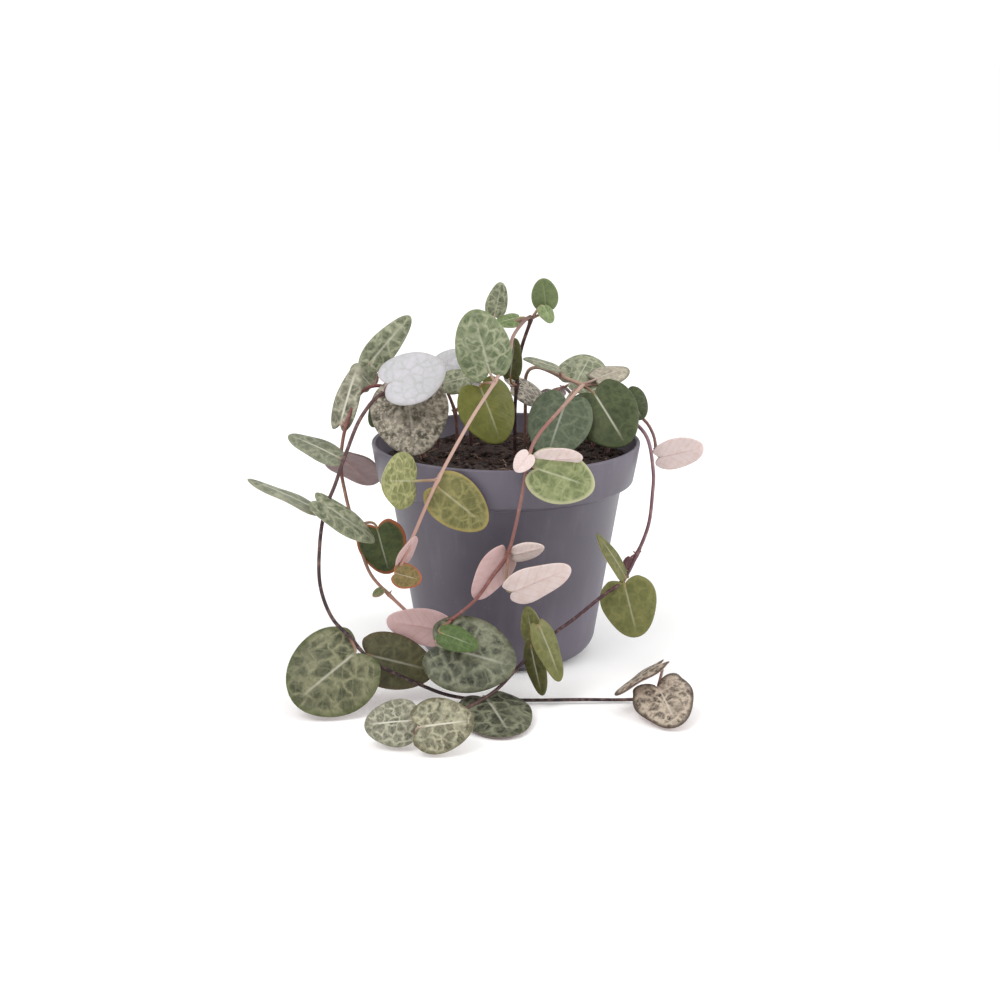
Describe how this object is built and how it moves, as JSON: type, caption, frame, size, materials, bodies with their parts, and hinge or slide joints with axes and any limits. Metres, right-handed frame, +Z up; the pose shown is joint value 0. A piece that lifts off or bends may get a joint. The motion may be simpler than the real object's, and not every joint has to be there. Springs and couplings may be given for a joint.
{
  "type": "string of hearts plant in a nursery pot",
  "caption": "Trailing succulent vines with heart-shaped leaves, growing in a plug of soil inside a small tapered nursery pot with a collar rim.",
  "frame": {"origin": "centre of the flat underside of the pot, on the pot's axis", "axes": "+Z up along the pot's axis, -Y towards the front of the plant, where the long vines trail, +X to the right as seen from the front"},
  "size_m": [0.0984, 0.1127, 0.084],
  "materials": {
    "pot_plastic": "semi-matt dark grey moulded plastic with a faint lilac cast",
    "soil": "damp dark brown peat crumb",
    "foliage": "smooth waxy succulent leaf, olive green with a pale silver net above and pale pink below, on thin brown and pink stems"
  },
  "bodies": {
    "root": {"pot": "pot_plastic", "soil": "soil", "vine_front": "foliage", "vine_left": "foliage", "vine_long": "foliage", "vine_centre": "foliage", "vine_right": "foliage", "sprig_right": "foliage", "crown_left": "foliage", "crown_silver": "foliage", "vine_back_left": "foliage", "vine_back_right": "foliage"}
  },
  "joints": []
}
